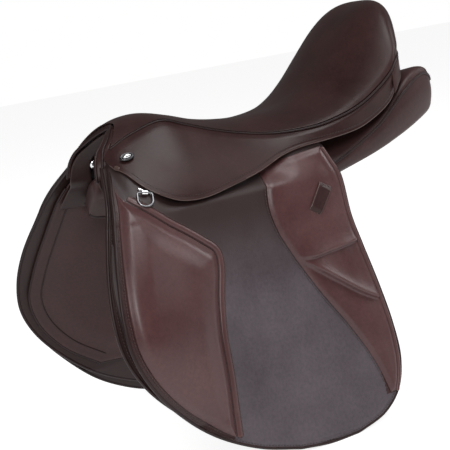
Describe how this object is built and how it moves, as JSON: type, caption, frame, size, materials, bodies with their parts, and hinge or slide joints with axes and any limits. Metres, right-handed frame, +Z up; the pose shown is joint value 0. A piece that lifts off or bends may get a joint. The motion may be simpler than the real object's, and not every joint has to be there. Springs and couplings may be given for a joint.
{
  "type": "english saddle",
  "caption": "Leather riding saddle with a deep seat, skirts, padded forward-cut flaps, panels, girth straps, stirrup bars and front rings.",
  "frame": {"origin": "centre plane, at the height where the panels bear beside the horse's spine, 38 mm in front of the seat's lengthwise middle", "axes": "-Y towards the pommel, +Y towards the cantle, +X towards the near (left) side, +Z up"},
  "size_m": [0.4142, 0.5652, 0.538],
  "materials": {
    "leather_dark": "smooth satin, dark brown",
    "leather_red": "smooth, slightly glossy, reddish brown",
    "leather_matte": "grained, matte, grey brown",
    "leather_inner": "matte, dark brown",
    "panel_leather": null,
    "foam": null,
    "canvas": "woven web",
    "tree_polymer": "matte",
    "steel": "brushed",
    "chrome": "polished"
  },
  "bodies": {
    "saddle": {"seat_cover": "leather_dark", "seat_foam": "foam", "seat_webbing": "canvas", "tree": "tree_polymer", "head_plate": "steel", "seat_welt": "leather_dark", "cantle_band": "leather_dark", "pommel_facing": "leather_dark", "gullet_lining": "leather_inner", "near_flap_top": "leather_matte", "near_rear_pad_top": "leather_red", "near_skirt_band": "leather_dark", "near_buckle_guard": "leather_inner", "near_girth_web": "canvas", "near_sweat_flap": "leather_inner", "near_knee_block": "panel_leather", "near_thigh_block": "panel_leather", "near_panel": "panel_leather", "near_lower_panel": "panel_leather", "near_stirrup_bar": "steel", "near_catch_pin": "steel", "near_saddle_nail": "chrome", "near_ring_staple": "chrome", "near_gullet_stud": "chrome", "off_flap_top": "leather_matte", "off_rear_pad_top": "leather_red", "off_skirt_band": "leather_dark", "off_buckle_guard": "leather_inner", "off_girth_web": "canvas", "off_sweat_flap": "leather_inner", "off_knee_block": "panel_leather", "off_thigh_block": "panel_leather", "off_panel": "panel_leather", "off_lower_panel": "panel_leather", "off_stirrup_bar": "steel", "off_catch_pin": "steel", "off_saddle_nail": "chrome", "off_ring_staple": "chrome", "off_gullet_stud": "chrome"},
    "near_flap_body": {"near_flap": "leather_matte", "near_knee_pad": "leather_red", "near_rear_pad": "leather_red", "near_keeper": "leather_red"},
    "near_skirt_body": {"near_skirt": "leather_dark"},
    "near_bar_catch_body": {"near_bar_catch": "steel"},
    "near_front_ring_body": {"near_front_ring": "chrome"},
    "near_billet_front_body": {"near_billet_front": "leather_inner"},
    "near_billet_middle_body": {"near_billet_middle": "leather_inner"},
    "near_billet_rear_body": {"near_billet_rear": "leather_inner"},
    "off_flap_body": {"off_flap": "leather_matte", "off_knee_pad": "leather_red", "off_rear_pad": "leather_red", "off_keeper": "leather_red"},
    "off_skirt_body": {"off_skirt": "leather_dark"},
    "off_bar_catch_body": {"off_bar_catch": "steel"},
    "off_front_ring_body": {"off_front_ring": "chrome"},
    "off_billet_front_body": {"off_billet_front": "leather_inner"},
    "off_billet_middle_body": {"off_billet_middle": "leather_inner"},
    "off_billet_rear_body": {"off_billet_rear": "leather_inner"}
  },
  "joints": [
    {"name": "near_flap_lift", "type": "hinge", "parent": "saddle", "child": "near_flap_body", "pos_m": [0.12, 0.085, 0.005], "axis": [0.0477, -0.9989, 0], "range_deg": [0, 75]},
    {"name": "near_skirt_lift", "type": "hinge", "parent": "saddle", "child": "near_skirt_body", "pos_m": [0.1185, 0.02, 0.05], "axis": [-0.0796, -0.9948, 0.0641], "range_deg": [0, 60]},
    {"name": "near_catch_turn", "type": "hinge", "parent": "saddle", "child": "near_bar_catch_body", "pos_m": [0.10779, -0.07392, 0.03189], "axis": [0.8323, 0.0723, 0.5496], "range_deg": [0, 70]},
    {"name": "near_ring_swing", "type": "hinge", "parent": "saddle", "child": "near_front_ring_body", "pos_m": [0.11844, -0.20166, 0.03682], "axis": [-0.2175, -0.9545, 0.2042], "range_deg": [0, 100]},
    {"name": "near_billet_front_swing", "type": "hinge", "parent": "saddle", "child": "near_billet_front_body", "pos_m": [0.12053, -0.092, -0.006], "axis": [0.9746, 0.0465, 0.2193], "range_deg": [-3, 3]},
    {"name": "near_billet_middle_swing", "type": "hinge", "parent": "saddle", "child": "near_billet_middle_body", "pos_m": [0.11852, -0.05, -0.006], "axis": [0.9746, 0.0465, 0.2193], "range_deg": [-3, 3]},
    {"name": "near_billet_rear_swing", "type": "hinge", "parent": "saddle", "child": "near_billet_rear_body", "pos_m": [0.11652, -0.008, -0.006], "axis": [0.9746, 0.0465, 0.2193], "range_deg": [-3, 3]},
    {"name": "off_flap_lift", "type": "hinge", "parent": "saddle", "child": "off_flap_body", "pos_m": [-0.12, 0.085, 0.005], "axis": [0.0477, 0.9989, 0], "range_deg": [0, 75]},
    {"name": "off_skirt_lift", "type": "hinge", "parent": "saddle", "child": "off_skirt_body", "pos_m": [-0.1185, 0.02, 0.05], "axis": [-0.0796, 0.9948, -0.0641], "range_deg": [0, 60]},
    {"name": "off_catch_turn", "type": "hinge", "parent": "saddle", "child": "off_bar_catch_body", "pos_m": [-0.10779, -0.07392, 0.03189], "axis": [0.8323, -0.0723, -0.5496], "range_deg": [0, 70]},
    {"name": "off_ring_swing", "type": "hinge", "parent": "saddle", "child": "off_front_ring_body", "pos_m": [-0.11844, -0.20166, 0.03682], "axis": [-0.2175, 0.9545, -0.2042], "range_deg": [0, 100]},
    {"name": "off_billet_front_swing", "type": "hinge", "parent": "saddle", "child": "off_billet_front_body", "pos_m": [-0.12053, -0.092, -0.006], "axis": [0.9746, -0.0465, -0.2193], "range_deg": [-3, 3]},
    {"name": "off_billet_middle_swing", "type": "hinge", "parent": "saddle", "child": "off_billet_middle_body", "pos_m": [-0.11852, -0.05, -0.006], "axis": [0.9746, -0.0465, -0.2193], "range_deg": [-3, 3]},
    {"name": "off_billet_rear_swing", "type": "hinge", "parent": "saddle", "child": "off_billet_rear_body", "pos_m": [-0.11652, -0.008, -0.006], "axis": [0.9746, -0.0465, -0.2193], "range_deg": [-3, 3]}
  ]
}
